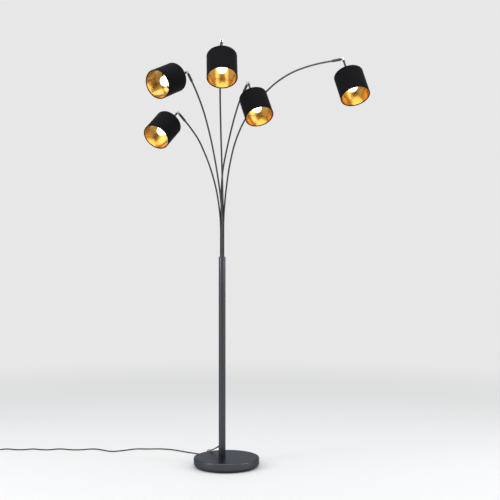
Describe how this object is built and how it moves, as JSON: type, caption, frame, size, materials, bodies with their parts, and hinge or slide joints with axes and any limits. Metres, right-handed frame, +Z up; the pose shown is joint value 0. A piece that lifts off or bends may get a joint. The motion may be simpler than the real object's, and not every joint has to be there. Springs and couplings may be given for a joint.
{
  "type": "tree floor lamp",
  "caption": "Floor lamp with a round weighted base, one pole, bent arms fanning out of its top and tilting drum shades on their ends.",
  "frame": {"origin": "centre of the round base's underside, on the floor", "axes": "+Z up the pole, -Y the front, towards the camera of the picture, +X to the right in it"},
  "size_m": [2.0687, 0.9902, 1.9408],
  "materials": {
    "anthracite_steel": "satin anthracite powder coat",
    "dark_steel": "satin black enamel",
    "zinc_steel": "zinc plated",
    "chrome": "polished",
    "cement": "cast cement, its rim painted black",
    "pad_rubber": "matt",
    "black_plastic": "fine grain",
    "tie_plastic": "smooth",
    "cord_jacket": "satin",
    "black_fabric": "fine woven",
    "gold_foil": "metallic gold",
    "opal_glass": "opal white"
  },
  "bodies": {
    "stand": {"base_cover": "anthracite_steel", "base_weight": "cement", "base_pad": "pad_rubber", "base_nut": "zinc_steel", "pole": "anthracite_steel", "pole_foot": "zinc_steel", "arm_hub": "black_plastic", "arm_1": "anthracite_steel", "arm_2": "anthracite_steel", "arm_3": "anthracite_steel", "arm_4": "anthracite_steel", "arm_5": "anthracite_steel", "cord_bushing": "black_plastic", "cord_run": "cord_jacket", "foot_switch": "black_plastic", "cord_coil": "cord_jacket", "cord_tie": "tie_plastic", "plug": "black_plastic"},
    "sleeve_1": {"sleeve_1": "dark_steel"},
    "head_1": {"knuckle_1": "chrome", "stem_1": "dark_steel", "lampholder_1": "black_plastic", "spider_1": "dark_steel", "shade_cover_1": "black_fabric", "shade_liner_1": "gold_foil", "bulb_1": "opal_glass"},
    "sleeve_2": {"sleeve_2": "dark_steel"},
    "head_2": {"knuckle_2": "chrome", "stem_2": "dark_steel", "lampholder_2": "black_plastic", "spider_2": "dark_steel", "shade_cover_2": "black_fabric", "shade_liner_2": "gold_foil", "bulb_2": "opal_glass"},
    "sleeve_3": {"sleeve_3": "dark_steel"},
    "head_3": {"knuckle_3": "chrome", "stem_3": "dark_steel", "lampholder_3": "black_plastic", "spider_3": "dark_steel", "shade_cover_3": "black_fabric", "shade_liner_3": "gold_foil", "bulb_3": "opal_glass"},
    "sleeve_4": {"sleeve_4": "dark_steel"},
    "head_4": {"knuckle_4": "chrome", "stem_4": "dark_steel", "lampholder_4": "black_plastic", "spider_4": "dark_steel", "shade_cover_4": "black_fabric", "shade_liner_4": "gold_foil", "bulb_4": "opal_glass"},
    "sleeve_5": {"sleeve_5": "dark_steel"},
    "head_5": {"knuckle_5": "chrome", "stem_5": "dark_steel", "lampholder_5": "black_plastic", "spider_5": "dark_steel", "shade_cover_5": "black_fabric", "shade_liner_5": "gold_foil", "bulb_5": "opal_glass"},
    "button": {"switch_button": "black_plastic"}
  },
  "joints": [
    {"name": "swivel_1", "type": "hinge", "parent": "stand", "child": "sleeve_1", "pos_m": [-0.2322, -0.0044, 1.6929], "axis": [-0.6322, -0.1217, 0.7652], "range_deg": [-40, 10]},
    {"name": "tilt_1", "type": "hinge", "parent": "sleeve_1", "child": "head_1", "pos_m": [-0.2322, -0.0044, 1.6929], "axis": [0.5853, -0.7221, 0.3687], "range_deg": [-45, 35]},
    {"name": "swivel_2", "type": "hinge", "parent": "stand", "child": "sleeve_2", "pos_m": [-0.1693, -0.266, 1.8347], "axis": [-0.3302, -0.666, 0.6689], "range_deg": [-15, 20]},
    {"name": "tilt_2", "type": "hinge", "parent": "sleeve_2", "child": "head_2", "pos_m": [-0.1693, -0.266, 1.8347], "axis": [0.83, -0.5423, -0.1303], "range_deg": [-35, 45]},
    {"name": "swivel_3", "type": "hinge", "parent": "stand", "child": "sleeve_3", "pos_m": [-0.01, -0.446, 1.935], "axis": [0.0638, -0.8387, 0.5409], "range_deg": [-15, 15]},
    {"name": "tilt_3", "type": "hinge", "parent": "sleeve_3", "child": "head_3", "pos_m": [-0.01, -0.446, 1.935], "axis": [0.9975, 0.0693, -0.0102], "range_deg": [-45, 40]},
    {"name": "swivel_4", "type": "hinge", "parent": "stand", "child": "sleeve_4", "pos_m": [0.1038, -0.1464, 1.8089], "axis": [0.3939, -0.5729, 0.7188], "range_deg": [-15, 20]},
    {"name": "tilt_4", "type": "hinge", "parent": "sleeve_4", "child": "head_4", "pos_m": [0.1038, -0.1464, 1.8089], "axis": [0.8649, 0.4956, -0.079], "range_deg": [-45, 30]},
    {"name": "swivel_5", "type": "hinge", "parent": "stand", "child": "sleeve_5", "pos_m": [0.5252, -0.3233, 1.881], "axis": [0.8318, -0.553, 0.0471], "range_deg": [-40, 40]},
    {"name": "tilt_5", "type": "hinge", "parent": "sleeve_5", "child": "head_5", "pos_m": [0.5252, -0.3233, 1.881], "axis": [0.536, 0.7785, -0.3265], "range_deg": [-35, 45]},
    {"name": "switch_press", "type": "slide", "parent": "stand", "child": "button", "axis": [0, 0, -1], "range_m": [0, 0.0025], "stiffness_N_per_m": 600}
  ]
}
